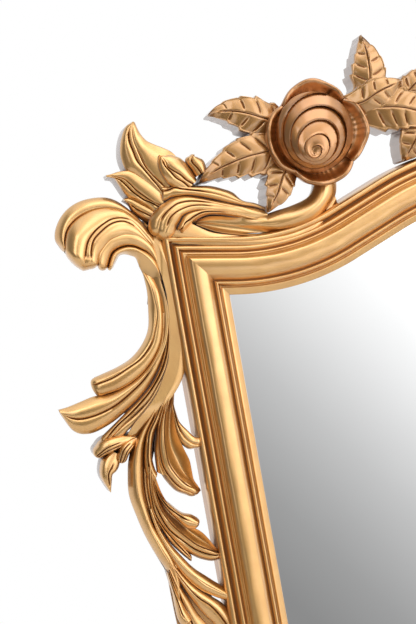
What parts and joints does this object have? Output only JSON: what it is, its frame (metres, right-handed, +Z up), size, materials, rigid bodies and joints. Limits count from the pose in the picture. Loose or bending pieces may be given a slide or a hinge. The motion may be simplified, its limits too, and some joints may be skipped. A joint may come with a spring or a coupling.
{
  "type": "cheval floor mirror",
  "caption": "Tall floor mirror in a gilt scrolled frame with roses, waisted sides and an arched top, tilting between two turned posts on scrolled legs.",
  "frame": {"origin": "on the floor, under the middle of the mirror, on the tilt axis's vertical plane", "axes": "+Z up, the mirror faces -Y, +X to the viewer's right, tilt axis along X"},
  "size_m": [0.7906, 0.5114, 1.8],
  "materials": {
    "gilt_wood": "satin antique gold leaf over carved wood, dark in the hollows",
    "gilt_moulding": "satin antique gold leaf, burnished on the beads",
    "gilt_roses": "cast resin, gilded, with brown patina between the petals",
    "gilt_leaves": "cast resin, gilded, with brown patina along the veins",
    "gilt_scrolls": "cast resin, gilded, with pale bare side walls",
    "gilt_knobs": "satin antique gold",
    "brass": "polished",
    "steel": "zinc plated",
    "felt": "dense felt",
    "mirror_glass": "silvered float glass",
    "foam": "soft foam sheet",
    "backing": "raw hardboard"
  },
  "bodies": {
    "stand": {"post_left": "gilt_wood", "post_right": "gilt_wood", "finial_left": "gilt_wood", "finial_right": "gilt_wood", "plinth_left": "gilt_wood", "plinth_right": "gilt_wood", "leg_front_left": "gilt_wood", "leg_back_left": "gilt_wood", "leg_front_right": "gilt_wood", "leg_back_right": "gilt_wood", "leg_rods": "steel", "stretcher": "gilt_wood", "stretcher_rosette": "gilt_roses", "stretcher_bolts": "brass", "glides": "felt", "pivot_sleeve_left": "brass", "pivot_sleeve_right": "brass", "pivot_collar_left": "brass", "pivot_collar_right": "brass", "friction_washers": "felt", "escutcheons": "brass"},
    "mirror": {"stile_left": "gilt_moulding", "stile_right": "gilt_moulding", "top_rail": "gilt_moulding", "bottom_rail": "gilt_moulding", "mirror_glass": "mirror_glass", "foam_sheet": "foam", "backing_board": "backing", "backing_clips": "steel", "clip_screws": "steel", "corner_plates": "steel", "corner_screws": "steel", "pivot_boss_left": "gilt_moulding", "pivot_boss_right": "gilt_moulding", "pivot_insert_left": "brass", "pivot_insert_right": "brass", "crest_rose": "gilt_roses", "crest_leaves": "gilt_leaves", "shoulder_rose_left": "gilt_roses", "shoulder_rose_right": "gilt_roses", "rose_leaves_left": "gilt_leaves", "rose_leaves_right": "gilt_leaves", "garland_left": "gilt_leaves", "garland_right": "gilt_leaves", "shoulder_scroll_left": "gilt_scrolls", "shoulder_scroll_right": "gilt_scrolls", "corner_scroll_left": "gilt_scrolls", "corner_scroll_right": "gilt_scrolls", "side_spray_left": "gilt_scrolls", "side_spray_right": "gilt_scrolls", "lower_spray_left": "gilt_scrolls", "lower_spray_right": "gilt_scrolls", "foot_scroll_left": "gilt_scrolls", "foot_scroll_right": "gilt_scrolls", "apron_leaves": "gilt_leaves", "apron_rose": "gilt_roses"},
    "knob_left": {"knob_left": "gilt_knobs", "knob_bolt_left": "brass"},
    "knob_right": {"knob_right": "gilt_knobs", "knob_bolt_right": "brass"}
  },
  "joints": [
    {"name": "mirror_tilt", "type": "hinge", "parent": "stand", "child": "mirror", "pos_m": [0, 0, 1], "axis": [1, 0, 0], "range_deg": [-30, 30]},
    {"name": "knob_left_turn", "type": "hinge", "parent": "mirror", "child": "knob_left", "pos_m": [-0.366, 0, 1], "axis": [-1, 0, 0], "range_deg": [0, 270]},
    {"name": "knob_right_turn", "type": "hinge", "parent": "mirror", "child": "knob_right", "pos_m": [0.366, 0, 1], "axis": [1, 0, 0], "range_deg": [0, 270]}
  ]
}
